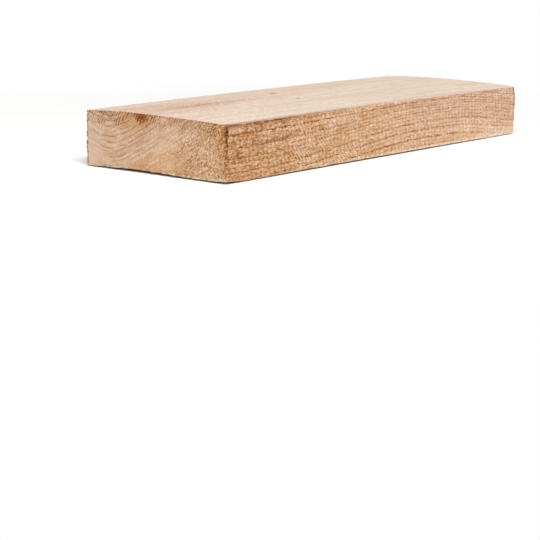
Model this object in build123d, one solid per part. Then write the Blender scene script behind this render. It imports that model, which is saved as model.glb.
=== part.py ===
from build123d import *
from math import degrees, radians, sqrt, tan
import os

# A short length of sawn board. It was cut square and has cupped and bowed a little in drying.
# X runs along the board, Y across it and Z through its thickness. All sizes are in millimetres.

# Sawn size
length = 430.0
width = 150.0              # across the upper wide face
thickness = 46.0

# Warp
cup = 2.0                  # height of the crown above the long edges, on both wide faces
crown_offset = 15.0        # how far the crown lies from the middle of the width, towards +Y
bow = 0.8                  # height of the middle of the board above its ends
edge_lean = 1.1            # degrees by which each long edge leans in towards the bottom

# Edges
arris_radius = 0.9         # worn roundness of the four long arrises

# Corner broken off at the -X end, on the -Y side of the upper face
break_along = 18.0
break_across = 8.0
break_down = 3.6

# Extra material that the saw cuts away from the warped slab
spare = 10.0


def arc_radius(half_span, rise):
    """Radius of an arc that falls by the rise at half_span from its highest point."""
    return (half_span**2 + rise**2) / (2 * rise)


def cupped_edge(side, crown_height):
    """One half of a wide face in section, level at the crown and falling to one side."""
    half_span = width / 2 - side * crown_offset
    radius = arc_radius(half_span, cup)
    reach = half_span + spare
    fall = radius - sqrt(radius**2 - reach**2)
    return TangentArc(
        (crown_offset, crown_height),
        (crown_offset + side * reach, crown_height - fall),
        tangent=(side, 0),
    )


# The slab has the warp of both wide faces and is larger than the board all round.
low_minus_y = cupped_edge(-1, cup)
low_plus_y = cupped_edge(1, cup)
high_minus_y = cupped_edge(-1, cup + thickness)
high_plus_y = cupped_edge(1, cup + thickness)
side_minus_y = Line(low_minus_y @ 1, high_minus_y @ 1)
side_plus_y = Line(low_plus_y @ 1, high_plus_y @ 1)
outline = [low_minus_y, low_plus_y, side_plus_y, high_plus_y, high_minus_y, side_minus_y]
section = Plane.YZ * make_face(outline)

bow_radius = arc_radius(length / 2, bow)
bow_axis = Axis((0, 0, -bow_radius), (0, 1, 0))
slab_angle = degrees((length + 2 * spare) / bow_radius)
slab = revolve(section, bow_axis, slab_angle).rotate(bow_axis, -slab_angle / 2)

# The saw leaves two square ends and two flat long edges that lean in towards the bottom.
cut_bottom = -spare
cut_top = thickness + cup + spare
lean = tan(radians(edge_lean))
half_width_at_bottom = width / 2 - (thickness - cut_bottom) * lean
half_width_at_top = width / 2 + (cut_top - thickness) * lean
cut_outline = Polyline(
    (-half_width_at_bottom, cut_bottom),
    (half_width_at_bottom, cut_bottom),
    (half_width_at_top, cut_top),
    (-half_width_at_top, cut_top),
    close=True,
)
cut_block = extrude(Plane.YZ * make_face(cut_outline), length / 2, both=True)
board = slab & cut_block

# Long arrises: the four edges that run from end to end along the sides
long_arrises = [edge for edge in board.edges() if edge.length > length / 2 and abs(edge.center().Y) > width / 4]
board = fillet(long_arrises, arris_radius)

# Broken corner
corner = Vector(-length / 2, -width / 2, thickness)
on_long_edge = corner + Vector(break_along, 0, 0)
on_end_edge = corner + Vector(0, break_across, 0)
on_upright = corner - Vector(0, 0, break_down)
break_normal = (on_end_edge - on_long_edge).cross(on_upright - on_long_edge)
break_plane = Plane(origin=on_long_edge, z_dir=break_normal)
board = split(board, bisect_by=break_plane, keep=Keep.BOTTOM)

# Rest the board on the ground plane.
board = Pos(0, 0, -board.bounding_box().min.Z) * board

os.makedirs("parts", exist_ok=True)
export_step(board, "parts/board.step")
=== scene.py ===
import itertools
import math

import bpy
import numpy as np
from mathutils import Matrix, Vector


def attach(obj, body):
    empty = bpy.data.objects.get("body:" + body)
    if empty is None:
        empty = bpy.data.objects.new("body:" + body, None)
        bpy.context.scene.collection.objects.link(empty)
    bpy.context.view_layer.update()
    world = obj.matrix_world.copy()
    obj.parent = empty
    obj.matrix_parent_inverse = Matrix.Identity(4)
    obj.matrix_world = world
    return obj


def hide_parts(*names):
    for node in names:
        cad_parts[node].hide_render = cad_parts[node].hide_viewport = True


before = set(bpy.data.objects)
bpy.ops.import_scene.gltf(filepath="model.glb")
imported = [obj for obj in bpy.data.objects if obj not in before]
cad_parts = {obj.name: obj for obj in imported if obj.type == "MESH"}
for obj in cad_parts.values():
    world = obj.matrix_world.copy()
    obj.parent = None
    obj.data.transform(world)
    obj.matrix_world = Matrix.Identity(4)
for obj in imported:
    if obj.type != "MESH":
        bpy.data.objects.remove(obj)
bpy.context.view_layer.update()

MM = 0.001

# The board, in millimetres: X along it, Y across it, Z up. The origin is under its middle.
LENGTH = 430
WIDTH = 150
THICKNESS = 46
CUP = 2.0                   # rise of both wide faces from the long edges to the crown
CROWN_Y = 15.0
BOW = 0.8                   # rise of the middle of the length above the ends
EDGE_LEAN = math.tan(math.radians(1.1))
ARRIS_RADIUS = 0.9
ARRIS_DROP = 0.08           # what the rounding takes off under the lower corners
BREAK_ALONG = 18.0          # the broken corner, measured along the three edges that met there
BREAK_ACROSS = 8.0
BREAK_DOWN = 3.6
BREAK_ROUGHNESS = 0.2

# Growth rings, as they lie on the -X end. The pith ran above the upper face, nearer the +Y edge.
PITH_Y = 48.0
PITH_Z = 60.0
RING_SPREAD = 0.6           # how steeply the rings climb away from the pith
RING_ROUNDNESS = 12.0
HEARTWOOD_DEPTH = 66.0      # ring depth at which the pinker heartwood gives way to sapwood

# The rings climb along the board and come down again, each from one X to another
OUTER_RINGS_CLIMB = 14.8
INNER_RINGS_SHARE = 0.1     # the innermost rings climb by this share of it
INNER_TO_OUTER = (72, 112)  # ring depths between which the share grows to all of it
CLIMB_ALONG = (-175, 50)
RINGS_FALL = 12.0
FALL_ALONG = (95, 265)      # it would end beyond the board

# How far the rings wander off that course, and over what lengths along X, Y and Z
RING_WAVES = ((1.0, (150, 34, 34)), (0.6, (60, 14, 14)), (0.25, (16, 6, 6)))

# Widths of the growth rings from the pith outwards, and how far out the first dark line lies
FIRST_RING = -2.0
RING_WIDTHS = (
    4.0, 4.0, 4.0, 4.0, 3.5, 4.0, 4.6, 4.2, 4.3, 4.8, 4.6, 3.1, 4.7, 2.8, 4.2, 4.2,
    4.5, 5.5, 5.5, 7.0, 10.0, 8.2, 3.1, 8.0, 6.5, 7.2, 6.8, 6.7, 7.0, 7.0, 7.0,
)

# How torn the surface is, from 0 to 1
ENDS_RAGGED = 0.12
SAPWOOD_RAGGED = 0.2        # more of it on the ends' sapwood
END_CORNER_RAGGED = 0.65    # and more towards the -Y corner, between these two Y
CORNER_ACROSS = (-18, -38)
SIDES_RAGGED = 0.27
NEAR_SIDES_RAGGED = 0.47    # more of it on the sides towards the -X end
SIDES_UNEVEN = 0.18

# Wear, in millimetres
SPLINTER_REACH = 1.8        # how far in from an edge its wood has splintered
FOOT_FRAY = 1.3             # along the foot of both ends
FAR_CORNER_WEAR = 2.6       # off the upper corner at +X, -Y
FAR_CORNER_REACH = 9
LIFTED_CORNER_WEAR = 1.4    # the lower corner at -X, -Y is worn upwards
LIFTED_CORNER_REACH = 30
LIFTED_CORNER_HEIGHT = 12

# Relief left by the saw, in millimetres
EDGE_SAW_SPACING = 3.7
EDGE_SAW_LEAN = 0.80        # how far a saw mark leans along the board for each millimetre up
EDGE_SAW_DEPTH = 0.16
STROKE_SPACING = 5.4        # softer marks, one for each stroke of the saw
STROKE_LEAN = 0.2
FACE_SAW_SPACING = 5.2
FACE_SAW_LEAN = 0.2
FACE_SAW_DEPTH = 0.05
FACE_WAVE_DEPTH = 0.10
END_SAW_SPACING = 2.4
END_SAW_LEAN = -0.6
END_SAW_DEPTH = 0.12
END_TICK_SPACING = 2.9      # the short slanting cuts under the upper edge of the ends
END_TICK_LEAN = 0.60
END_TICK_DEPTH = 0.3
LATEWOOD_STANDS = 0.07
EDGE_TORN_DEPTH = 0.45
END_TORN_DEPTH = 0.48

# Floor and light, in metres
FLOOR_REACH = 6.0
FLOOR_FADES = (0.30, 0.65)  # from here to there the floor gives way to plain white
FLOOR_COLOUR = (0.75, 0.74, 0.73, 1)
WHITE = (1, 1, 1, 1)
ROOM_STRENGTH = 0.36
LAMP_POWER = 265.0
LAMP_SIZE = (2.9, 2.1)
LAMP_COLOUR = (1.0, 0.985, 0.96)
LAMP_TOWARD = (-0.50, -0.52, 0.75)
LAMP_DISTANCE = 5.0

# View, in degrees, millimetres and pixels
CAMERA_AZIMUTH = -51.65
CAMERA_ELEVATION = 11.96
CAMERA_ROLL = 0.70
CAMERA_AT = (-1160.0, -865.3, 195.6)
FOCAL_PIXELS = 1638.0
FRAME_PIXELS = 540


# Numbers that change smoothly over space

def lattice_value(i, j, k, seed):
    """A number from 0 to 1 for each whole-numbered point, always the same for one seed."""
    # Large odd factors and shifts scramble the bits
    mixed = np.uint32(seed * 97531 + 12345)
    for part, factor in zip((i, j, k), (374761393, 668265263, 2246822519)):
        mixed = mixed + part.astype(np.uint32) * np.uint32(factor)
    for shift, factor in ((15, 2654435761), (13, 3266489917)):
        mixed = (mixed ^ (mixed >> np.uint32(shift))) * np.uint32(factor)
    mixed = mixed ^ (mixed >> np.uint32(16))
    return (mixed & np.uint32(0xFFFFFF)) / float(0xFFFFFF)


def wander(x, y, z, size, seed):
    """Smooth noise from -1 to 1. size gives how far apart its bumps are along X, Y and Z."""
    cells, eases = [], []
    for value, step in zip((x, y, z), size):
        scaled = np.asarray(value, float) / step + 0.37 * seed
        cell = np.floor(scaled)
        part = scaled - cell
        cells.append(cell.astype(np.int64))
        eases.append(part * part * (3 - 2 * part))
    total = 0.0
    for offsets in itertools.product((0, 1), repeat=3):
        weight = 1.0
        for ease, offset in zip(eases, offsets):
            weight = weight * (ease if offset else 1 - ease)
        total = total + weight * lattice_value(*(c + o for c, o in zip(cells, offsets)), seed)
    return 2 * total - 1


def smooth_step(low, high, value):
    """0 below low, 1 above high and a smooth rise between; low may be the larger."""
    part = np.clip((value - low) / (high - low), 0, 1)
    return part * part * (3 - 2 * part)


# The shape of the wood

def ring_depth(x, y, z):
    """How far out from the pith the wood at a point grew, in millimetres."""
    at_end = PITH_Z - z + np.hypot((y - PITH_Y) * RING_SPREAD, RING_ROUNDNESS) - RING_ROUNDNESS
    for seed, (reach, size) in enumerate(RING_WAVES, 1):
        at_end = at_end + reach * wander(x, y, z, size, seed)
    climb = OUTER_RINGS_CLIMB * smooth_step(*CLIMB_ALONG, x)
    fall = RINGS_FALL * smooth_step(*FALL_ALONG, x)

    # How much a ring climbs depends on how far out it is, so the depth is found step by step
    depth = at_end
    for _ in range(8):
        share = INNER_RINGS_SHARE + (1 - INNER_RINGS_SHARE) * smooth_step(*INNER_TO_OUTER, depth)
        depth = at_end + climb * share - fall
    return depth


def ring_count(depth):
    """How many rings there are inside a depth, counting parts of a ring."""
    lines = FIRST_RING + np.cumsum((0,) + RING_WIDTHS)
    return np.interp(depth, lines, np.arange(len(lines)))


def latewood(count):
    """1 on the hard dark line that ends each ring, and 0 between the lines."""
    part = count % 1.0
    return smooth_step(0.55, 0.85, part) * smooth_step(1.0, 0.88, part)


def raggedness(x, y, z, on_end, depth):
    """How torn the sawn surface is at a point, from 0 to 1."""
    sapwood = smooth_step(HEARTWOOD_DEPTH - 8, HEARTWOOD_DEPTH + 12, depth)
    corner = smooth_step(*CORNER_ACROSS, y + 6 * wander(x, y, z, (9, 9, 9), 11))
    ends = ENDS_RAGGED + SAPWOOD_RAGGED * sapwood + END_CORNER_RAGGED * corner
    near_end = smooth_step(-LENGTH * 0.05, -LENGTH * 0.46, x)
    uneven = wander(x, y, z, (45, 20, 14), 12)
    sides = SIDES_RAGGED + NEAR_SIDES_RAGGED * near_end + SIDES_UNEVEN * uneven
    return np.clip(np.where(on_end, ends, sides), 0, 1)


def saw_ridges(along, across, spacing, lean, seed):
    """Height of the ridges between saw marks, from 0 to 1."""
    bend = 1.2 * wander(along, across, 0 * along, (60, 40, 1), seed)
    jitter = 0.15 * wander(along, across, 0 * along, (7, 9, 1), seed + 1)
    ridge = 0.5 + 0.5 * np.cos(2 * math.pi * ((along + lean * across + bend) / spacing + jitter))
    patch = 0.5 + 0.5 * wander(along, across, 0 * along, (38, 16, 1), seed + 2)
    return ridge * (0.25 + 0.75 * patch)


def torn(x, y, z, size, seed):
    """How deep torn fibres leave a point, from 0 to 1.

    size gives the lengths of the grains along X, Y and Z.
    """
    coarse = wander(x, y, z, [2.2 * part for part in size], seed)
    fine = wander(x, y, z, size, seed + 1)
    return np.clip(0.5 + 0.3 * coarse + 0.55 * fine, 0, 1)


def bitten_edges(x, y, z):
    """How far splintered and worn wood has gone from along the board's edges, in millimetres."""
    inside = np.stack([LENGTH / 2 - abs(x), WIDTH / 2 - abs(y), np.minimum(z, THICKNESS - z)])
    from_edge = np.sort(inside, axis=0)[1]
    closeness = np.clip(1 - from_edge / SPLINTER_REACH, 0, 1)
    small = np.clip(wander(x, y, z, (4, 2.6, 4.5), 43), 0, 1)
    large = np.clip(wander(x, y, z, (14, 11, 6.5), 44), 0, 1)
    upright = smooth_step(3, 1, np.hypot(inside[0], inside[1]))
    tall = np.clip(wander(x, y, z, (14, 11, 3.6), 45), 0, 1)
    splinters = closeness * (0.06 + 0.5 * small + 0.3 * large + 1.1 * upright * tall)

    from_corner = np.stack([x - LENGTH / 2, y + WIDTH / 2, z - THICKNESS])
    worn = FAR_CORNER_WEAR * smooth_step(FAR_CORNER_REACH, 0, np.linalg.norm(from_corner, axis=0))
    foot = smooth_step(3, 0.5, inside[0]) * smooth_step(2.5, 0.5, z)
    frayed = FOOT_FRAY * foot * np.clip(wander(x, y, z, (5, 2.4, 5), 48) + 0.15, 0, 1)
    return worn + frayed + splinters


def lifted_corner(x, y, z):
    """How far the wood is worn upwards over the lower corner at -X, -Y, in millimetres."""
    closeness = smooth_step(LIFTED_CORNER_REACH, 0, np.hypot(x + LENGTH / 2, y + WIDTH / 2))
    return LIFTED_CORNER_WEAR * closeness * np.clip(1 - z / LIFTED_CORNER_HEIGHT, 0, 1)


def end_ticks(y, z):
    """The short slanting cuts where the saw's teeth entered, along the upper edge of the ends."""
    phase = (y + END_TICK_LEAN * z) / END_TICK_SPACING + 0.2 * wander(y, z, 0 * y, (6, 30, 1), 46)
    cut = smooth_step(0.25, 0.5, abs(phase % 1.0 - 0.5) * 2)
    reach = 6.5 + 4.5 * wander(y, 0 * y, 0 * y, (7, 1, 1), 47)
    return (1 - cut) * smooth_step(reach, reach - 3, THICKNESS - z)


def relief(x, y, z, depth, ragged):
    """How far the narrow edges, wide faces and ends lie inside the full size, in millimetres.

    Also how deep the fibres are torn on the narrow edges and on the ends, from 0 to 1.
    """
    low_ring = LATEWOOD_STANDS * (1 - latewood(ring_count(depth)))
    edge_saw = EDGE_SAW_DEPTH * (1 - saw_ridges(x, z, EDGE_SAW_SPACING, EDGE_SAW_LEAN, 21))
    face_saw = FACE_SAW_DEPTH * (1 - saw_ridges(x, y, FACE_SAW_SPACING, FACE_SAW_LEAN, 24))
    end_saw = END_SAW_DEPTH * (1 - saw_ridges(y, z, END_SAW_SPACING, END_SAW_LEAN, 27))
    edge_torn = ragged * torn(x, y, z, (6.0, 1.5, 1.5), 31)
    end_torn = ragged * torn(x, y - END_SAW_LEAN * z, z, (2.0, 1.2, 2.0), 36)
    face_wave = FACE_WAVE_DEPTH * (1 + wander(x, y, z, (50, 24, 24), 34))
    ticks = END_TICK_DEPTH * end_ticks(y, z)
    bitten = bitten_edges(x, y, z)
    edge_in = low_ring + edge_saw + EDGE_TORN_DEPTH * edge_torn + bitten
    face_in = 0.5 * low_ring + face_saw + face_wave + 0.7 * bitten
    end_in = low_ring + end_saw + END_TORN_DEPTH * end_torn + ticks + bitten
    return edge_in, face_in, end_in, edge_torn, end_torn


def skin_faces(corner, a_axis, b_axis, a_count, b_count, step, outward_first):
    """Faces of one side of the board on a millimetre lattice.

    A coarse side takes the in-between points along its rim, so that it meets its finer neighbours.
    """
    corner, a_axis, b_axis = (np.array(v) for v in (corner, a_axis, b_axis))

    def key(a, b):
        i, j, k = corner + a * a_axis + b * b_axis
        return (int(i) * (WIDTH + 1) + int(j)) * (THICKNESS + 1) + int(k)

    faces = []
    half = step // 2
    for a in range(0, a_count, step):
        for b in range(0, b_count, step):
            ring = [(a, b), (a + step, b), (a + step, b + step), (a, b + step)]
            middles = [(a + half, b), (a + step, b + half), (a + half, b + step), (a, b + half)]
            at_rim = [b == 0, a + step == a_count, b + step == b_count, a == 0]
            points = []
            for point, middle, rim in zip(ring, middles, at_rim):
                points.append(key(*point))
                if rim and half:
                    points.append(key(*middle))
            faces.append(points if outward_first else points[::-1])
    return faces


def board_mesh():
    """The board's whole skin as one closed mesh, with its sawn relief."""
    x_way, y_way, z_way = (1, 0, 0), (0, 1, 0), (0, 0, 1)
    sides = [
        ("wide_face", skin_faces((0, 0, 0), x_way, y_way, LENGTH, WIDTH, 2, False)),
        ("wide_face", skin_faces((0, 0, THICKNESS), x_way, y_way, LENGTH, WIDTH, 2, True)),
        ("narrow_edge", skin_faces((0, 0, 0), x_way, z_way, LENGTH, THICKNESS, 1, True)),
        ("narrow_edge", skin_faces((0, WIDTH, 0), x_way, z_way, LENGTH, THICKNESS, 1, False)),
        ("end_grain", skin_faces((0, 0, 0), y_way, z_way, WIDTH, THICKNESS, 1, False)),
        ("end_grain", skin_faces((LENGTH, 0, 0), y_way, z_way, WIDTH, THICKNESS, 1, True)),
    ]
    names = ["wide_face", "narrow_edge", "end_grain"]
    faces = [face for _, side in sides for face in side]
    kinds = [names.index(name) for name, side in sides for _ in side]
    used, numbers = np.unique([k for face in faces for k in face], return_inverse=True)
    starts = np.cumsum([0] + [len(face) for face in faces])
    faces = [numbers[a:b].tolist() for a, b in zip(starts[:-1], starts[1:])]

    i, rest = np.divmod(used, (WIDTH + 1) * (THICKNESS + 1))
    j, k = np.divmod(rest, THICKNESS + 1)
    flat = np.stack([i - LENGTH / 2, j - WIDTH / 2, k * 1.0], 1)
    points, values = shaped(*flat.T)

    mesh = bpy.data.meshes.new("board")
    mesh.from_pydata((points * MM).tolist(), [], faces)
    for name, value in values.items():
        layer = mesh.attributes.new(name, "FLOAT", "POINT")
        layer.data.foreach_set("value", value.astype(np.float32))
    flat_place = mesh.attributes.new("flat_place", "FLOAT_VECTOR", "POINT")
    flat_place.data.foreach_set("vector", flat.astype(np.float32).ravel())
    mesh.polygons.foreach_set("material_index", kinds)
    mesh.polygons.foreach_set("use_smooth", [True] * len(faces))
    mesh.update()
    return mesh, names


def shaped(x, y, z):
    """Places of the lattice points on the real board, and the values that its finishes read."""
    on_end = np.abs(x) == LENGTH / 2
    on_rim = (np.abs(y) == WIDTH / 2) | (z == 0) | (z == THICKNESS)
    depth = ring_depth(x, y, z)
    ragged = raggedness(x, y, z, on_end, depth)
    edge_in, face_in, end_in, edge_torn, end_torn = relief(x, y, z, depth, ragged)

    # Rounded arrises, and the direction in which each point of the sides and faces sinks
    inner_y = np.clip(y, -WIDTH / 2 + ARRIS_RADIUS, WIDTH / 2 - ARRIS_RADIUS)
    inner_z = np.clip(z, ARRIS_RADIUS, THICKNESS - ARRIS_RADIUS)
    out_y, out_z = y - inner_y, z - inner_z
    reach = np.where(on_rim, np.hypot(out_y, out_z), 1)
    out_y, out_z = np.where(on_rim, out_y / reach, 0), np.where(on_rim, out_z / reach, 0)
    sink = np.abs(out_y) * edge_in + np.abs(out_z) * face_in
    side_y = np.where(on_rim, inner_y + out_y * (ARRIS_RADIUS - sink), y)
    side_z = np.where(on_rim, inner_z + out_z * (ARRIS_RADIUS - sink), z)
    side_z = side_z + lifted_corner(x, y, z)
    place_x = np.where(on_end, np.sign(x) * (LENGTH / 2 - end_in), x)

    # Lean of the narrow edges, bow and cup
    place_y = side_y * (1 - (THICKNESS - side_z) * EDGE_LEAN / (WIDTH / 2))
    half_span = np.where(y < CROWN_Y, CROWN_Y + WIDTH / 2, WIDTH / 2 - CROWN_Y)
    rise = CUP * (1 - ((place_y - CROWN_Y) / half_span) ** 2) + BOW * (1 - (2 * x / LENGTH) ** 2)
    points, broken = break_corner(np.stack([place_x, place_y, side_z + rise - ARRIS_DROP], 1))
    values = {
        "ring_depth": depth,
        "ring_count": ring_count(depth),
        "raggedness": ragged,
        "hollows": np.where(on_end, end_torn, edge_torn),
        "broken": broken,
    }
    return points, values


def break_corner(points):
    """Lays the points beyond the break onto its rough face, and marks them."""
    corner = np.array([-LENGTH / 2, -WIDTH / 2, THICKNESS + BOW - ARRIS_DROP])
    on_long_edge = corner + [BREAK_ALONG, 0, 0]
    on_end_edge = corner + [0, BREAK_ACROSS, 0]
    on_upright = corner - [0, 0, BREAK_DOWN]
    normal = np.cross(on_end_edge - on_long_edge, on_upright - on_long_edge)
    normal = normal / np.linalg.norm(normal) * -np.sign(normal[0])
    rough = BREAK_ROUGHNESS * (wander(*points.T, (2.5, 2.5, 2.5), 51) - 1)
    beyond = (points - on_long_edge) @ normal - rough
    return points - np.outer(np.clip(beyond, 0, None), normal), smooth_step(-0.3, 0.3, beyond)


# What the finishes are put together from

class Graph:
    """Short ways to add and join nodes in one material or node group."""

    def __init__(self, tree):
        self.tree = tree

    def node(self, kind, inputs=None, **settings):
        made = self.tree.nodes.new(kind)
        for name, value in settings.items():
            setattr(made, name, value)
        for name, value in (inputs or {}).items():
            self.feed(made.inputs[name], value)
        return made

    def feed(self, socket, value):
        if isinstance(value, bpy.types.NodeSocket):
            self.tree.links.new(value, socket)
        elif value is not None:
            socket.default_value = value

    def math(self, operation, *values):
        made = self.node("ShaderNodeMath", operation=operation)
        for socket, value in zip(made.inputs, values):
            self.feed(socket, value)
        return made.outputs[0]

    def product(self, first, *others):
        """The values multiplied together."""
        for other in others:
            first = self.math("MULTIPLY", first, other)
        return first

    def plus(self, base, value, share):
        """The base with a share of a value added to it."""
        return self.math("MULTIPLY_ADD", value, share, base)

    def away(self, value, centre):
        """How far a value is from a centre."""
        return self.math("ABSOLUTE", self.math("SUBTRACT", value, centre))

    def ramp(self, value, low, high, to_low=0.0, to_high=1.0):
        """A smooth change from to_low at low, to to_high at high; low may be the larger."""
        inputs = {
            "Value": value,
            "From Min": low,
            "From Max": high,
            "To Min": to_low,
            "To Max": to_high,
        }
        return self.node("ShaderNodeMapRange", inputs, interpolation_type="SMOOTHSTEP").outputs[0]

    def blend(self, factor, a, b, kind="MIX"):
        made = self.node("ShaderNodeMix", data_type="RGBA", blend_type=kind)
        for socket, value in zip((made.inputs[0], made.inputs[6], made.inputs[7]), (factor, a, b)):
            self.feed(socket, value)
        return made.outputs[2]

    def tinted(self, colour, mask, strength, tint):
        """The colour multiplied by a tint where the mask is."""
        darker = self.blend(1.0, colour, tint, "MULTIPLY")
        return self.blend(self.product(mask, strength), colour, darker)

    def place(self, x, y, z=0.0):
        """A position put together from its parts."""
        return self.node("ShaderNodeCombineXYZ", {"X": x, "Y": y, "Z": z}).outputs[0]

    def vectors(self, operation, a, b=None):
        made = self.node("ShaderNodeVectorMath", operation=operation)
        for socket, value in zip(made.inputs, (a, b)):
            self.feed(socket, value)
        return made.outputs["Value" if operation == "LENGTH" else "Vector"]

    def noise(self, vector, size=1.0, detail=2.0, roughness=0.5, distortion=0.0):
        inputs = {
            "Vector": vector,
            "Scale": 1 / size,
            "Detail": detail,
            "Roughness": roughness,
            "Distortion": distortion,
        }
        return self.node("ShaderNodeTexNoise", inputs).outputs["Fac"]

    def stretched(self, position, along, across):
        """The position divided by a length along the board and another across it."""
        return self.vectors("MULTIPLY", position, (1 / along, 1 / across, 1 / across))

    def figure(self, position, along, across, detail=2.0, roughness=0.5):
        """Noise with one size along the board and another across it, in millimetres."""
        return self.noise(self.stretched(position, along, across), 1.0, detail, roughness)


def new_group(name, inputs, outputs):
    """A node group with sockets of these kinds and names: its graph, inputs and output node."""
    tree = bpy.data.node_groups.new(name, "ShaderNodeTree")
    for side, sockets in (("INPUT", inputs), ("OUTPUT", outputs)):
        for kind, labels in sockets.items():
            for label in labels:
                tree.interface.new_socket(label, in_out=side, socket_type="NodeSocket" + kind)
    graph = Graph(tree)
    given = graph.node("NodeGroupInput").outputs
    return graph, given, graph.node("NodeGroupOutput").inputs


def growth_rings_group():
    """Broken dark latewood lines and each ring's own tint, from the count of rings."""
    graph, given, out = new_group(
        "growth rings",
        {"Float": ["Count"], "Vector": ["Position"]},
        {"Float": ["Latewood", "Ring Tint"]},
    )
    position = given["Position"]
    wobble = graph.ramp(graph.figure(position, 7.0, 2.2, 4.0, 0.65), 0.2, 0.8, -0.13, 0.13)
    rings = graph.math("ADD", given["Count"], wobble)
    part = graph.math("FRACT", rings)
    number = graph.math("FLOOR", rings)
    chance = graph.node("ShaderNodeTexWhiteNoise", {"W": number}, noise_dimensions="1D")
    chance = chance.outputs["Value"]

    # The wood darkens slowly towards the line; the outer rings have a false line inside them
    dusk = graph.product(graph.ramp(part, 0.35, 0.88), 0.3)
    false_line = graph.product(
        graph.ramp(graph.away(part, 0.42), 0.09, 0.02),
        graph.ramp(graph.figure(position, 26.0, 5.0), 0.36, 0.56, 0.1, 0.85),
        graph.ramp(given["Count"], 15.0, 19.0, 0.3, 1.0),
    )
    line = graph.math("MAXIMUM", dusk, false_line)
    line = graph.math("MAXIMUM", line, graph.ramp(part, 0.70, 0.88))
    dashes = graph.ramp(graph.figure(position, 7.0, 2.0, 4.0, 0.65), 0.36, 0.56, 0.25, 1.0)
    strength = graph.ramp(chance, 0.0, 1.0, 0.7, 1.0)
    line = graph.product(line, graph.ramp(part, 1.0, 0.94), dashes, strength)
    graph.feed(out["Latewood"], line)
    graph.feed(out["Ring Tint"], chance)
    return graph.tree


def wood_fibres_group():
    """Fine streaks, broader bands, short dark flecks and grit, all drawn out along the board."""
    graph, given, out = new_group(
        "wood fibres",
        {"Vector": ["Position"]},
        {"Float": ["Streaks", "Bands", "Flecks", "Grit"]},
    )
    position = given["Position"]
    flecks = graph.figure(position, 5.0, 1.5, 2.0, 0.6)
    graph.feed(out["Streaks"], graph.figure(position, 14.0, 0.9, 4.0, 0.65))
    graph.feed(out["Bands"], graph.figure(position, 70.0, 6.0, 3.0, 0.55))
    graph.feed(out["Flecks"], graph.ramp(flecks, 0.575, 0.67))
    graph.feed(out["Grit"], graph.figure(position, 2.4, 1.2, 2.0, 0.6))
    return graph.tree


def saw_marks_group():
    """Ridges left by the saw, everywhere and in patches.

    Along and Across are millimetres on the sawn face. Wholeness is how much of each ridge stays
    where it is worn, from 0 to 1.
    """
    graph, given, out = new_group(
        "saw marks",
        {"Float": ["Along", "Across", "Spacing", "Lean", "Wholeness"]},
        {"Float": ["Ridges", "Patchy Ridges"]},
    )
    face = graph.place(given["Along"], given["Across"])
    bend = graph.ramp(graph.noise(face, 30.0, 1.0), 0.0, 1.0, -4.0, 4.0)
    leaning = graph.plus(given["Along"], given["Across"], given["Lean"])
    phase = graph.math("DIVIDE", graph.math("ADD", leaning, bend), given["Spacing"])
    wave = graph.math("SINE", graph.product(phase, 2 * math.pi))
    whole = graph.ramp(graph.noise(face, 3.0, 2.0), 0.3, 0.6, given["Wholeness"], 1.0)
    ridges = graph.product(graph.ramp(wave, -0.2, 1.0), whole)
    patches = graph.ramp(graph.noise(face, 26.0, 2.0), 0.4, 0.62)
    graph.feed(out["Ridges"], ridges)
    graph.feed(out["Patchy Ridges"], graph.product(ridges, patches))
    return graph.tree


def torn_grain_group():
    """Grains of torn wood: relief, painted shade in the pits and painted highlights on the tips."""
    graph, given, out = new_group(
        "torn grain",
        {
            "Vector": ["Position"],
            "Float": ["Grain Length", "Grain Width", "Hollows", "Raggedness"],
        },
        {"Float": ["Relief", "Pits", "Tips"]},
    )
    long_way = graph.math("DIVIDE", 1.0, given["Grain Length"])
    short_way = graph.math("DIVIDE", 1.0, given["Grain Width"])
    sizes = graph.place(long_way, short_way, short_way)
    grains = graph.noise(graph.vectors("MULTIPLY", given["Position"], sizes), 1.0, 3.0, 0.65, 0.8)
    deep = graph.plus(graph.math("SUBTRACT", 0.72, grains), given["Hollows"], 0.28)
    ragged = given["Raggedness"]
    graph.feed(out["Relief"], graph.product(grains, ragged))
    # Masks for painted shade in the pits between the grains and painted highlights on their tips
    graph.feed(out["Pits"], graph.product(graph.ramp(deep, 0.27, 0.5), ragged))
    graph.feed(out["Tips"], graph.product(graph.ramp(deep, 0.22, 0.02), ragged))
    return graph.tree


def soft_spot_group():
    """A spot with a wandering outline: 1 in its middle and 0 outside its radii."""
    graph, given, out = new_group(
        "soft spot",
        {"Vector": ["Position", "Centre", "Radii"]},
        {"Float": ["Spot"]},
    )
    from_centre = graph.vectors("SUBTRACT", given["Position"], given["Centre"])
    distance = graph.vectors("LENGTH", graph.vectors("DIVIDE", from_centre, given["Radii"]))
    rough = graph.figure(given["Position"], 5.0, 1.6, 3.0, 0.6)
    uneven = graph.math("ADD", distance, graph.ramp(rough, 0.2, 0.8, -0.45, 0.45))
    graph.feed(out["Spot"], graph.ramp(uneven, 1.0, 0.35))
    return graph.tree


def bruised_corner_group():
    """Dark dots along an upright corner, fewer towards its foot.

    Distance is millimetres from the corner: within Dark Width the dots are at their darkest, and
    beyond Whole Width there are none. Foot Share of them is left at the foot.
    """
    graph, given, out = new_group(
        "bruised corner",
        {
            "Vector": ["Position"],
            "Float": [
                "Distance", "Dark Width", "Whole Width",
                "Height", "Full Height", "Foot Share",
            ],
        },
        {"Float": ["Bruise"]},
    )
    across = graph.ramp(given["Distance"], given["Whole Width"], given["Dark Width"])
    dots = graph.ramp(graph.noise(given["Position"], 2.2, 2.0, 0.6), 0.40, 0.56)
    upwards = graph.ramp(given["Height"], 4.0, given["Full Height"], given["Foot Share"], 1.0)
    graph.feed(out["Bruise"], graph.product(across, dots, upwards))
    return graph.tree


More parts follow.
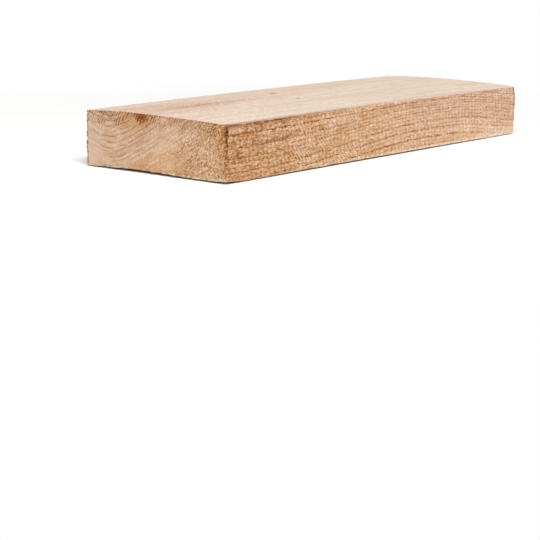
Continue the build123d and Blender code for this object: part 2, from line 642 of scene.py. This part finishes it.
def fibres_and_highlight_group():
    """Frayed fibres over a lower arris, painted pale as the highlight they catch, from the Shortest
    to the Longest in millimetres.

    Whole and Gone are the heights over a fibre's tip between which it fades out.
    """
    graph, given, out = new_group(
        "frayed fibres and highlight",
        {
            "Vector": ["Position"],
            "Float": [
                "Height", "Detail", "Roughness", "Shortest", "Longest", "Whole", "Gone",
            ],
        },
        {"Float": ["Fibres"]},
    )
    uneven = graph.noise(given["Position"], 1.0, given["Detail"], given["Roughness"])
    tips = graph.ramp(uneven, 0.25, 0.75, given["Shortest"], given["Longest"])
    over_tips = graph.math("SUBTRACT", given["Height"], tips)
    graph.feed(out["Fibres"], graph.ramp(over_tips, given["Gone"], given["Whole"]))
    return graph.tree


# Colours are linear red, green and blue. A tint multiplies the colour of the wood under it.
FLECK_TINT = (0.54, 0.34, 0.18, 1)
# Painted shade for the pits between torn grains, and a painted highlight for their tips
PIT_SHADE_TINT = (0.56, 0.34, 0.17, 1)
TIP_HIGHLIGHT_COLOUR = (0.90, 0.74, 0.55, 1)


def wood_colour_group():
    """The wood's colour from its rings and fibres, with painted shade and highlights on torn grain.
    """
    graph, given, out = new_group(
        "wood colour",
        {
            "Color": ["Earlywood", "Latewood Color"],
            "Float": [
                "Latewood", "Ring Tint", "Streaks", "Bands", "Flecks",
                "Grit", "Grit Contrast", "Pits", "Tips",
            ],
        },
        {"Color": ["Color"]},
    )
    wood = graph.blend(given["Latewood"], given["Earlywood"], given["Latewood Color"])
    grit = graph.ramp(given["Grit"], 0.28, 0.72, -1.0, 1.0)
    tone = graph.product(
        graph.ramp(given["Streaks"], 0.25, 0.75, 0.84, 1.13),
        graph.ramp(given["Bands"], 0.3, 0.7, 0.91, 1.06),
        graph.ramp(given["Ring Tint"], 0.0, 1.0, 0.95, 1.04),
        graph.plus(1.0, grit, given["Grit Contrast"]),
    )

    # Darker wood is also warmer: it keeps more of its red and less of its blue
    shade = graph.node("ShaderNodeCombineColor", {
        "Red": graph.math("POWER", tone, 0.65),
        "Green": tone,
        "Blue": graph.math("POWER", tone, 1.5),
    }).outputs[0]
    wood = graph.blend(1.0, wood, shade, "MULTIPLY")
    wood = graph.tinted(wood, given["Flecks"], 0.85, FLECK_TINT)
    # Painted shade in the torn pits, then painted highlights on the torn tips
    wood = graph.tinted(wood, given["Pits"], 1.0, PIT_SHADE_TINT)
    pale = graph.blend(0.6, wood, TIP_HIGHLIGHT_COLOUR)
    graph.feed(out["Color"], graph.blend(given["Tips"], wood, pale))
    return graph.tree


class SawnWood(Graph):
    """A material of bare sawn wood, with what all the board's faces share.

    Positions are those on the flat board, before it warped, in millimetres.
    """

    def __init__(self, name, groups):
        self.material = bpy.data.materials.new(name)
        self.material.use_nodes = True
        super().__init__(self.material.node_tree)
        self.tree.nodes.clear()
        self.groups = groups
        self.position = self.attribute("flat_place").outputs["Vector"]
        parts = self.node("ShaderNodeSeparateXYZ", {0: self.position}).outputs
        self.x, self.y, self.z = parts[0], parts[1], parts[2]
        self.depth = self.attribute("ring_depth").outputs["Fac"]
        self.count = self.attribute("ring_count").outputs["Fac"]
        self.ragged = self.attribute("raggedness").outputs["Fac"]
        self.hollows = self.attribute("hollows").outputs["Fac"]
        self.broken = self.attribute("broken").outputs["Fac"]

    def attribute(self, name):
        return self.node("ShaderNodeAttribute", attribute_name=name)

    def use(self, name, **inputs):
        """The outputs of a node group placed here. Its inputs go by name, with _ for a space."""
        made = self.node("ShaderNodeGroup")
        made.node_tree = self.groups[name]
        for label, value in inputs.items():
            self.feed(made.inputs[label.replace("_", " ")], value)
        return made.outputs

    def saw_marks(self, along, across, spacing, lean, wholeness=0.0):
        return self.use(
            "saw marks",
            Along=along,
            Across=across,
            Spacing=spacing,
            Lean=lean,
            Wholeness=wholeness,
        )

    def streaky(self, along, across, detail=2.0, roughness=0.5):
        return self.figure(self.position, along, across, detail, roughness)

    def spot(self, centre, radii):
        return self.use("soft spot", Position=self.position, Centre=centre, Radii=radii)["Spot"]

    def gentler(self, value, share):
        """A value around one half, with only a share of its contrast."""
        return self.plus(0.5, self.math("SUBTRACT", value, 0.5), share)

    def layered(self, colour, layers):
        """The colour under several tints, each with its mask and strength."""
        for mask, strength, tint in layers:
            colour = self.tinted(colour, mask, strength, tint)
        return colour

    def heights(self, *parts):
        """The height of the surface as a sum of parts, each with its share."""
        total = 0.0
        for value, share in parts:
            total = self.plus(total, value, share)
        return total

    def finish(self, colour, height, roughness, relief_mm, sheen):
        bump = {"Height": height, "Distance": relief_mm * MM, "Strength": 1.0}
        shader = self.node("ShaderNodeBsdfPrincipled", {
            "Base Color": colour,
            "Roughness": roughness,
            "Normal": self.node("ShaderNodeBump", bump).outputs[0],
            "Specular IOR Level": sheen,
        })
        self.node("ShaderNodeOutputMaterial", {"Surface": shader.outputs[0]})
        return self.material


# The narrow edges. Near is at the -X end and far at the +X end.
EDGE_WOOD_NEAR = (0.695, 0.406, 0.211, 1)
EDGE_WOOD_FAR = (0.78, 0.525, 0.35, 1)
EDGE_WOOD_PINK = (0.745, 0.52, 0.395, 1)
EDGE_WOOD_GREY = (0.74, 0.53, 0.395, 1)
EDGE_LINE_NEAR = (0.22, 0.075, 0.014, 1)
EDGE_LINE_FAR = (0.34, 0.155, 0.07, 1)
EDGE_RIDGE_COLOUR = (0.86, 0.69, 0.52, 1)
# Frayed fibres on the lower arris, painted pale as the highlight they catch
EDGE_FIBRE_AND_HIGHLIGHT_COLOUR = (0.90, 0.75, 0.58, 1)
STROKE_TINT = (0.78, 0.67, 0.55, 1)
NICK_TINT = (0.56, 0.35, 0.19, 1)
ARRIS_TINT_NEAR = (0.55, 0.40, 0.33, 1)
ARRIS_TINT_FAR = (0.86, 0.82, 0.84, 1)
NEAR_CORNER_TINT = (0.28, 0.12, 0.05, 1)
# Painted shade along the far upright corner, where the edge turns away to the far end
FAR_CORNER_SHADE_TINT = (0.36, 0.24, 0.17, 1)
RESIN_TINT = (0.80, 0.50, 0.28, 1)
MOST_RIDGED_X = -88.0       # the middle of the stretch where the saw's ridges stand out
NICK_LENGTH = 4.6
NICK_WIDTH = 1.7


def narrow_edge_finish(groups):
    """The long narrow edges: golden wood with close growth lines, saw ridges and torn patches."""
    wood = SawnWood("narrow_edge", groups)
    x, z = wood.x, wood.z
    ramp, product = wood.ramp, wood.product
    rings = wood.use("growth rings", Count=wood.count, Position=wood.position)
    fibres = wood.use("wood fibres", Position=wood.position)
    saw = wood.saw_marks(x, z, EDGE_SAW_SPACING, EDGE_SAW_LEAN)
    strokes = wood.saw_marks(x, z, STROKE_SPACING, STROKE_LEAN)
    grain = wood.use(
        "torn grain",
        Position=wood.position,
        Grain_Length=5.0,
        Grain_Width=1.0,
        Hollows=ramp(wood.hollows, 0.0, 1.0, 0.1, 0.8),
        Raggedness=wood.ragged,
    )

    # The bare wood, calmer towards the far end
    far = ramp(x, -LENGTH * 0.5, LENGTH * 0.38)
    early = wood.blend(far, EDGE_WOOD_NEAR, EDGE_WOOD_FAR)
    pinker = product(ramp(x, 10.0, 110.0), ramp(z, 18.0, 36.0), 0.6)
    early = wood.blend(pinker, early, EDGE_WOOD_PINK)
    greyer = product(ramp(wood.streaky(24.0, 8.0, 1.0), 0.42, 0.72), 0.5)
    early = wood.blend(greyer, early, EDGE_WOOD_GREY)
    calm = ramp(x, 20.0, 160.0, 1.0, 0.85)
    fleck_share = ramp(wood.ragged, 0.1, 0.8, 0.5, 1.0)
    grit_share = ramp(wood.ragged, 0.1, 0.8, 0.26, 0.46)
    streak_share = ramp(x, -150.0, 160.0, 1.4, 0.95)
    colour = wood.use(
        "wood colour",
        Earlywood=early,
        Latewood_Color=wood.blend(far, EDGE_LINE_NEAR, EDGE_LINE_FAR),
        Latewood=product(rings["Latewood"], calm),
        Ring_Tint=rings["Ring Tint"],
        Streaks=wood.gentler(fibres["Streaks"], streak_share),
        Bands=fibres["Bands"],
        Flecks=product(fibres["Flecks"], fleck_share, calm),
        Grit=fibres["Grit"],
        Grit_Contrast=product(grit_share, calm),
        # Painted shade in the torn pits and painted highlights on the torn tips
        Pits=product(grain["Pits"], 0.9),
        Tips=grain["Tips"],
    )["Color"]

    # Pale saw ridges, the darker strokes of the saw and short upright nicks near the -X end
    ridged = ramp(wood.away(x, MOST_RIDGED_X), 62.0, 34.0, 0.25, 1.0)
    ridges = product(saw["Patchy Ridges"], ridged)
    colour = wood.blend(product(ridges, 0.68), colour, EDGE_RIDGE_COLOUR)
    nick_place = wood.place(
        wood.math("DIVIDE", wood.plus(x, z, STROKE_LEAN), NICK_WIDTH),
        wood.math("DIVIDE", z, NICK_LENGTH),
    )
    nicks = ramp(wood.noise(nick_place, 1.0, 2.0, 0.55), 0.60, 0.70)
    nicks = product(nicks, ramp(x, 20.0, -150.0, 0.2, 1.0))

    # Redder wood under the upper arris, a brown near corner, painted shade down the far corner and
    # a resin streak
    uneven = ramp(wood.streaky(8.0, 3.0, 3.0, 0.6), 0.3, 0.65)
    upper = ramp(z, THICKNESS - 4.8, THICKNESS - 2.2)
    upper = product(upper, ramp(uneven, 0.0, 1.0, 0.5, 1.0))
    arris_tint = wood.blend(ramp(x, -150.0, -30.0), ARRIS_TINT_NEAR, ARRIS_TINT_FAR)
    near_corner = wood.use(
        "bruised corner",
        Position=wood.position,
        Distance=wood.math("ADD", x, LENGTH / 2),
        Dark_Width=1.0,
        Whole_Width=3.6,
        Height=z,
        Full_Height=34.0,
        Foot_Share=0.35,
    )["Bruise"]
    # Painted shade along the far upright corner, where the edge turns away to the far end, darker
    # upwards
    far_corner_shade = product(
        ramp(x, LENGTH / 2 - 4.2, LENGTH / 2 - 1.5),
        ramp(z, 16.0, 32.0, 0.3, 1.0),
    )
    colour = wood.layered(colour, (
        (strokes["Ridges"], 0.6, STROKE_TINT),
        (nicks, 0.75, NICK_TINT),
        (upper, 0.9, arris_tint),
        (near_corner, 1.0, NEAR_CORNER_TINT),
        (wood.spot((-189, -75, 37), (13, 30, 2.6)), 0.8, RESIN_TINT),
        (far_corner_shade, 0.9, FAR_CORNER_SHADE_TINT),
    ))

    # Frayed fibres over the lower arris, painted pale as the highlight they catch, and paler wood
    # low at the far end
    frayed = wood.use(
        "frayed fibres and highlight",
        Position=wood.stretched(wood.position, 3.0, 40.0),
        Height=z,
        Detail=3.0,
        Roughness=0.7,
        Shortest=0.6,
        Longest=4.0,
        Whole=-0.6,
        Gone=0.9,
    )["Fibres"]
    lower = product(frayed, ramp(x, -200.0, 90.0, 0.2, 0.85))
    foot = product(ramp(x, 90.0, 212.0), ramp(z, 13.0, 1.5), 0.55)
    colour = wood.blend(wood.math("MAXIMUM", lower, foot), colour, EDGE_FIBRE_AND_HIGHLIGHT_COLOUR)

    height = wood.heights(
        (ridges, 0.2),
        (grain["Relief"], 1.0),
        (strokes["Ridges"], -0.3),
        (nicks, -0.3),
        (fibres["Streaks"], 0.35),
    )
    return wood.finish(colour, height, roughness=0.75, relief_mm=0.85, sheen=0.18)


# The ends
SAPWOOD = (0.69, 0.455, 0.275, 1)
HEARTWOOD = (0.655, 0.46, 0.325, 1)
SAPWOOD_LINE = (0.36, 0.18, 0.08, 1)
HEARTWOOD_LINE = (0.30, 0.15, 0.075, 1)
HEART_RIM_COLOUR = (0.86, 0.66, 0.47, 1)
BACK_WOOD_COLOUR = (0.70, 0.51, 0.39, 1)
# Frayed fibres along the foot, painted pale as the highlight they catch
END_FIBRE_AND_HIGHLIGHT_COLOUR = (0.88, 0.74, 0.57, 1)
TOP_EDGE_TINT = (0.84, 0.72, 0.62, 1)
CUT_TINT = (0.50, 0.30, 0.17, 1)
LIP_TINT = (0.45, 0.31, 0.22, 1)
GOLDEN_TINT = (0.915, 0.86, 0.83, 1)
AMBER_TINT = (0.95, 0.78, 0.55, 1)
STAIN_HALO_TINT = (0.84, 0.68, 0.48, 1)
STAIN_TINT = (0.54, 0.30, 0.14, 1)
END_CORNER_TINT = (0.87, 0.71, 0.45, 1)
RIM_TINT = (0.36, 0.17, 0.07, 1)
BRUISE_TINT = (0.40, 0.20, 0.075, 1)
NOTCH_TINT = (0.36, 0.26, 0.22, 1)
RIGHT_THROUGH = 900         # longer than the board, for spots and noise that are alike at both ends
FINE_RINGS = 2.6            # fine lines for each growth ring
GOLDEN_Y = -12.0


def end_grain_finish(groups):
    """The sawn ends: smooth ringed heartwood that turns to rough, torn sapwood."""
    wood = SawnWood("end_grain", groups)
    x, y, z = wood.x, wood.y, wood.z
    ramp, product = wood.ramp, wood.product
    flatter = wood.vectors("MULTIPLY", wood.position, (1.0, 0.25, 0.25))
    rings = wood.use("growth rings", Count=wood.count, Position=flatter)
    saw = wood.saw_marks(y, z, END_SAW_SPACING, END_SAW_LEAN)
    ticks = wood.saw_marks(y, z, END_TICK_SPACING, END_TICK_LEAN, 0.7)
    leaning = wood.place(
        x,
        wood.plus(y, z, -END_SAW_LEAN),
        product(z, 0.6),
    )
    grain = wood.use(
        "torn grain",
        Position=leaning,
        Grain_Length=1.1,
        Grain_Width=1.1,
        Hollows=ramp(wood.hollows, 0.0, 1.0, 0.2, 0.55),
        Raggedness=wood.ragged,
    )
    pores = wood.noise(leaning, 0.9, 2.0, 0.65)
    around = wood.place(
        product(wood.count, FINE_RINGS),
        wood.math("DIVIDE", y, 14.0),
        wood.math("DIVIDE", z, 14.0),
    )
    along_rings = ramp(wood.noise(around, 1.0, 3.0, 0.65), 0.3, 0.7)
    uneven = ramp(wood.noise(wood.position, 4.0, 3.0, 0.6), 0.35, 0.65)

    # The bare wood, with its rings clearest around the pith and its painted pit shade deepest at
    # the corner
    heartwood = ramp(wood.depth, HEARTWOOD_DEPTH + 6, HEARTWOOD_DEPTH - 8)
    around_pith = product(
        ramp(wood.depth, 72.0, 45.0, 0.2, 0.9),
        ramp(y, -8.0, 34.0, 0.3, 1.0),
        ramp(y, WIDTH / 2, 58.0, 0.25, 1.0),
    )
    corner = product(
        ramp(wood.plus(y, z, -0.5), -68.0, -88.0),
        ramp(z, 2.0, 22.0, 0.75, 1.0),
    )
    colour = wood.use(
        "wood colour",
        Earlywood=wood.blend(heartwood, SAPWOOD, HEARTWOOD),
        Latewood_Color=wood.blend(heartwood, SAPWOOD_LINE, HEARTWOOD_LINE),
        Latewood=product(rings["Latewood"], around_pith),
        Ring_Tint=rings["Ring Tint"],
        Streaks=wood.gentler(along_rings, ramp(wood.depth, 78.0, 50.0, 0.4, 0.85)),
        Bands=wood.gentler(wood.noise(wood.position, 18.0, 3.0, 0.5), 0.7),
        Flecks=0.0,
        Grit=pores,
        Grit_Contrast=ramp(wood.ragged, 0.1, 0.9, 0.22, 0.56),
        # Painted shade in the torn pits, deepest at the corner, and painted highlights on the torn
        # tips
        Pits=product(grain["Pits"], wood.plus(0.95, corner, 0.5)),
        Tips=grain["Tips"],
    )["Color"]

    # A pale line where the heartwood ends
    heart_rim = ramp(wood.away(wood.depth, HEARTWOOD_DEPTH + 1), 3.0, 0.5)
    colour = wood.blend(product(heart_rim, 0.12), colour, HEART_RIM_COLOUR)

    # Shade under the upper edge, and the dark cuts and bitten lip that the saw's teeth left there
    top_edge = product(
        ramp(z, THICKNESS - 16, THICKNESS - 1),
        ramp(y, -72.0, -25.0, 0.35, 1.0),
    )
    reach = ramp(wood.streaky(RIGHT_THROUGH, 9.0, 1.0), 0.3, 0.7, 4.0, 13.0)
    over_cuts = wood.math("SUBTRACT", wood.math("ADD", z, reach), THICKNESS)
    cuts = product(
        ticks["Ridges"],
        ramp(over_cuts, -2.0, 3.0),
        ramp(y, -30.0, 5.0, 0.4, 1.0),
        ramp(wood.streaky(RIGHT_THROUGH, 5.0, 1.0), 0.4, 0.56, 0.1, 1.0),
    )
    lip = product(
        ramp(z, THICKNESS - 2.4, THICKNESS - 0.8),
        ticks["Ridges"],
        ramp(uneven, 0.0, 1.0, 0.1, 1.0),
    )

    # Golden wood low in the middle, with an amber spot
    golden = product(
        ramp(wood.away(y, GOLDEN_Y), 42.0, 20.0),
        ramp(z, 34.0, 8.0),
    )
    colour = wood.layered(colour, (
        (top_edge, 0.7, TOP_EDGE_TINT),
        (cuts, 0.95, CUT_TINT),
        (lip, 0.8, LIP_TINT),
        (golden, 1.0, GOLDEN_TINT),
        (wood.spot((0, 17, 4), (RIGHT_THROUGH, 12, 4)), 0.8, AMBER_TINT),
    ))

    # Paler wood low at the back
    paler = product(ramp(z, 34.0, 18.0), ramp(y, 48.0, 66.0), 0.5)
    colour = wood.blend(paler, colour, BACK_WOOD_COLOUR)

    # The stain beside the pith, the bruised corner and its rim, and the notched back edge
    rim = wood.use(
        "bruised corner",
        Position=wood.position,
        Distance=wood.math("ADD", y, WIDTH / 2),
        Dark_Width=0.8,
        Whole_Width=3.0,
        Height=z,
        Full_Height=26.0,
        Foot_Share=0.3,
    )["Bruise"]
    notches = product(
        ramp(wood.streaky(RIGHT_THROUGH, 2.6, 1.0), 0.48, 0.58),
        ramp(y, WIDTH / 2 - 3.0, WIDTH / 2 - 1.2),
    )
    corner_shade = product(corner, ramp(uneven, 0.0, 1.0, 0.5, 1.0))
    colour = wood.layered(colour, (
        (wood.spot((0, 19, 42), (RIGHT_THROUGH, 29, 19)), 0.85, STAIN_HALO_TINT),
        (wood.spot((0, 13.5, 43.5), (RIGHT_THROUGH, 9, 8)), 0.95, STAIN_TINT),
        (corner_shade, 0.8, END_CORNER_TINT),
        (rim, 0.9, RIM_TINT),
        (wood.spot((0, -WIDTH / 2, 41), (RIGHT_THROUGH, 5, 10)), 0.95, BRUISE_TINT),
        (notches, 0.95, NOTCH_TINT),
    ))

    # Frayed fibres along the foot, painted pale as the highlight they catch
    frayed = wood.use(
        "frayed fibres and highlight",
        Position=wood.stretched(wood.position, 40.0, 3.0),
        Height=wood.plus(z, ramp(y, -45.0, -72.0), -1.2),
        Detail=4.0,
        Roughness=0.75,
        Shortest=-0.2,
        Longest=2.6,
        Whole=-0.9,
        Gone=1.2,
    )["Fibres"]
    lower = product(frayed, ramp(y, 38.0, -30.0, 0.15, 0.75))
    colour = wood.blend(lower, colour, END_FIBRE_AND_HIGHLIGHT_COLOUR)

    height = wood.heights(
        (saw["Patchy Ridges"], 0.3),
        (cuts, -0.5),
        (grain["Relief"], 1.0),
        (pores, ramp(wood.ragged, 0.1, 0.9, 0.15, 0.45)),
    )
    return wood.finish(colour, height, roughness=0.8, relief_mm=0.8, sheen=0.15)


# The wide faces
FACE_WOOD_PALE = (0.70, 0.56, 0.44, 1)
FACE_WOOD_PINK = (0.69, 0.51, 0.385, 1)
FACE_WOOD_FAR = (0.70, 0.545, 0.435, 1)
FACE_WOOD_BACK = (0.70, 0.565, 0.455, 1)
FACE_LINE_PALE = (0.66, 0.49, 0.37, 1)
FACE_LINE_PINK = (0.56, 0.35, 0.245, 1)
FACE_SHADE_TINT = (0.88, 0.76, 0.67, 1)
STREAK_TINT = (0.76, 0.58, 0.47, 1)
DASH_TINT = (0.52, 0.36, 0.30, 1)
BACK_ARRIS_TINT = (0.88, 0.90, 0.93, 1)
FACE_ARRIS_TINT = (0.58, 0.42, 0.33, 1)
BREAK_TINT = (0.52, 0.30, 0.18, 1)

# Small marks in the wood of the wide faces: where they are, their radii and their tints
FACE_MARKS = (
    ((-25, 32, THICKNESS), (8.5, 3.8, 9), (0.24, 0.17, 0.14, 1)),
    ((-41, -8, THICKNESS), (2.6, 3.0, 9), (0.05, 0.035, 0.03, 1)),
    ((-38, 72, THICKNESS), (5, 7, 9), (0.50, 0.41, 0.35, 1)),
    ((213, 73, THICKNESS), (6, 8, 9), (0.60, 0.54, 0.52, 1)),
    ((90, 1, THICKNESS), (7, 3, 9), (0.80, 0.72, 0.66, 1)),
)


def wide_face_finish(groups):
    """The wide faces: pale, smoother wood with long soft figure."""
    wood = SawnWood("wide_face", groups)
    x, y = wood.x, wood.y
    ramp, product = wood.ramp, wood.product
    rings = wood.use("growth rings", Count=wood.count, Position=wood.position)
    fibres = wood.use("wood fibres", Position=wood.position)
    saw = wood.saw_marks(x, y, FACE_SAW_SPACING, FACE_SAW_LEAN)

    # The bare wood: pinker towards the pith, with one dark streak over it at the -X end
    drift = ramp(wood.streaky(90.0, 22.0), 0.2, 0.8, -22.0, 22.0)
    across = wood.plus(wood.math("ADD", y, drift), x, -0.1)
    pinker = ramp(across, -8.0, 40.0)
    far = product(ramp(x, 40.0, 150.0), ramp(y, -40.0, 50.0))
    early = wood.blend(pinker, FACE_WOOD_PALE, FACE_WOOD_PINK)
    early = wood.blend(far, early, FACE_WOOD_FAR)
    early = wood.blend(ramp(y, 46.0, 66.0), early, FACE_WOOD_BACK)
    dark_streak = wood.spot((-128, 18, THICKNESS), (72, 13, 30))
    grit_share = ramp(x, 30.0, -160.0, 0.07, 0.2)
    colour = wood.use(
        "wood colour",
        Earlywood=early,
        Latewood_Color=wood.blend(pinker, FACE_LINE_PALE, FACE_LINE_PINK),
        Latewood=product(rings["Latewood"], 0.7),
        Ring_Tint=rings["Ring Tint"],
        Streaks=fibres["Streaks"],
        Bands=fibres["Bands"],
        Flecks=product(fibres["Flecks"], 0.3),
        Grit=fibres["Grit"],
        Grit_Contrast=wood.plus(grit_share, dark_streak, 0.3),
        Pits=0.0,
        Tips=0.0,
    )["Color"]

    streaks = product(dark_streak, ramp(fibres["Streaks"], 0.4, 0.6, 0.35, 1.0))
    dashes = product(
        ramp(wood.streaky(15.0, 3.2, 1.0), 0.48, 0.60),
        ramp(wood.streaky(6.0, 9.0, 1.0), 0.42, 0.56, 0.25, 1.0),
        wood.spot((-128, 15.5, THICKNESS), (70, 9, 30)),
    )
    colour = wood.layered(colour, (
        (wood.spot((-180, 22, THICKNESS), (85, 38, 30)), 0.75, FACE_SHADE_TINT),
        (streaks, 0.8, STREAK_TINT),
        (dashes, 0.9, DASH_TINT),
    ))
    marks = [(wood.spot(centre, radii), 0.9, tint) for centre, radii, tint in FACE_MARKS]
    colour = wood.layered(colour, marks)

    # Greyed back arris, browned near arris and the bare torn wood of the broken corner
    near_arris = product(
        ramp(y, 6.0 - WIDTH / 2, 1.5 - WIDTH / 2),
        ramp(x, 120.0, -150.0, 0.25, 1.0),
        ramp(wood.streaky(9.0, 3.0, 3.0, 0.6), 0.3, 0.6, 0.4, 1.0),
    )
    torn_wood = product(wood.broken, ramp(x, -196.0, -210.0, 0.35, 1.0))
    colour = wood.layered(colour, (
        (ramp(y, WIDTH / 2 - 8.0, WIDTH / 2 - 1.0), 0.8, BACK_ARRIS_TINT),
        (near_arris, 1.0, FACE_ARRIS_TINT),
        (torn_wood, 1.0, BREAK_TINT),
    ))

    height = wood.heights((saw["Patchy Ridges"], 0.4), (fibres["Streaks"], 0.6))
    return wood.finish(colour, height, roughness=0.5, relief_mm=0.25, sheen=0.5)


def make_board():
    """The board itself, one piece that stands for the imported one."""
    groups = {
        "growth rings": growth_rings_group(),
        "wood fibres": wood_fibres_group(),
        "saw marks": saw_marks_group(),
        "torn grain": torn_grain_group(),
        "soft spot": soft_spot_group(),
        "bruised corner": bruised_corner_group(),
        "frayed fibres and highlight": fibres_and_highlight_group(),
        "wood colour": wood_colour_group(),
    }
    finishes = {
        "wide_face": wide_face_finish(groups),
        "narrow_edge": narrow_edge_finish(groups),
        "end_grain": end_grain_finish(groups),
    }
    mesh, names = board_mesh()
    for name in names:
        mesh.materials.append(finishes[name])
    board = bpy.data.objects.new("sawn_board", mesh)
    bpy.context.scene.collection.objects.link(board)
    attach(board, "root")
    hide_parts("board")


# Floor, light and camera

def seen_rays(graph):
    """1 for the rays that show the background, straight or in gloss or glass, and 0 for others."""
    rays = graph.node("ShaderNodeLightPath").outputs
    seen = graph.math("MAXIMUM", rays["Is Camera Ray"], rays["Is Glossy Ray"])
    return graph.math("MAXIMUM", seen, rays["Is Transmission Ray"])


def make_floor():
    """A plain white floor that keeps the board's soft shadow."""
    material = bpy.data.materials.new("floor")
    material.use_nodes = True
    graph = Graph(material.node_tree)
    graph.tree.nodes.clear()
    seen = seen_rays(graph)
    paint = graph.node("ShaderNodeBsdfDiffuse", {"Color": graph.blend(seen, FLOOR_COLOUR, WHITE)})
    white = graph.node("ShaderNodeEmission", {"Color": WHITE, "Strength": 1.0})
    distance = graph.vectors("LENGTH", graph.node("ShaderNodeTexCoord").outputs["Object"])
    faded = graph.product(graph.ramp(distance, *FLOOR_FADES), seen)
    shaders = {0: faded, 1: paint.outputs[0], 2: white.outputs[0]}
    surface = graph.node("ShaderNodeMixShader", shaders)
    graph.node("ShaderNodeOutputMaterial", {"Surface": surface.outputs[0]})

    mesh = bpy.data.meshes.new("floor")
    turns = ((-1, -1), (1, -1), (1, 1), (-1, 1))
    corners = [(x * FLOOR_REACH, y * FLOOR_REACH, 0) for x, y in turns]
    mesh.from_pydata(corners, [], [(0, 1, 2, 3)])
    mesh.materials.append(material)
    floor = bpy.data.objects.new("floor", mesh)
    bpy.context.scene.collection.objects.link(floor)


def make_light():
    """An even white room with one large soft lamp in front, above and to the left."""
    world = bpy.data.worlds.new("studio")
    world.use_nodes = True
    graph = Graph(world.node_tree)
    graph.tree.nodes.clear()
    strength = graph.ramp(seen_rays(graph), 0.0, 1.0, ROOM_STRENGTH, 1.0)
    room = graph.node("ShaderNodeBackground", {"Color": WHITE, "Strength": strength})
    graph.node("ShaderNodeOutputWorld", {"Surface": room.outputs[0]})
    bpy.context.scene.world = world

    lamp = bpy.data.lights.new("soft_box", "AREA")
    lamp.shape = "RECTANGLE"
    lamp.size, lamp.size_y = LAMP_SIZE
    lamp.energy = LAMP_POWER
    lamp.color = LAMP_COLOUR
    soft_box = bpy.data.objects.new("soft_box", lamp)
    toward = Vector(LAMP_TOWARD).normalized()
    soft_box.location = toward * LAMP_DISTANCE
    soft_box.rotation_mode = "QUATERNION"
    soft_box.rotation_quaternion = (-toward).to_track_quat("-Z", "Y")
    bpy.context.scene.collection.objects.link(soft_box)


def make_camera():
    """The photograph's view of the board."""
    data = bpy.data.cameras.new("camera")
    data.sensor_width = 36.0
    data.lens = FOCAL_PIXELS / FRAME_PIXELS * data.sensor_width
    data.clip_start, data.clip_end = 0.05, 50.0
    camera = bpy.data.objects.new("camera", data)
    turn = math.radians(CAMERA_AZIMUTH)
    tilt = math.radians(CAMERA_ELEVATION)
    level = math.cos(tilt)
    back = Vector((math.sin(turn) * level, -math.cos(turn) * level, math.sin(tilt)))
    right = (-back).cross(Vector((0, 0, 1))).normalized()
    rolled = Matrix.Rotation(math.radians(CAMERA_ROLL), 3, back)
    axes = Matrix((rolled @ right, rolled @ back.cross(right), back)).transposed()
    camera.rotation_mode = "QUATERNION"
    camera.rotation_quaternion = axes.to_quaternion()
    camera.location = Vector(CAMERA_AT) * MM
    bpy.context.scene.collection.objects.link(camera)
    bpy.context.scene.camera = camera


make_board()
make_floor()
make_light()
make_camera()
bpy.context.scene.view_settings.view_transform = "Standard"
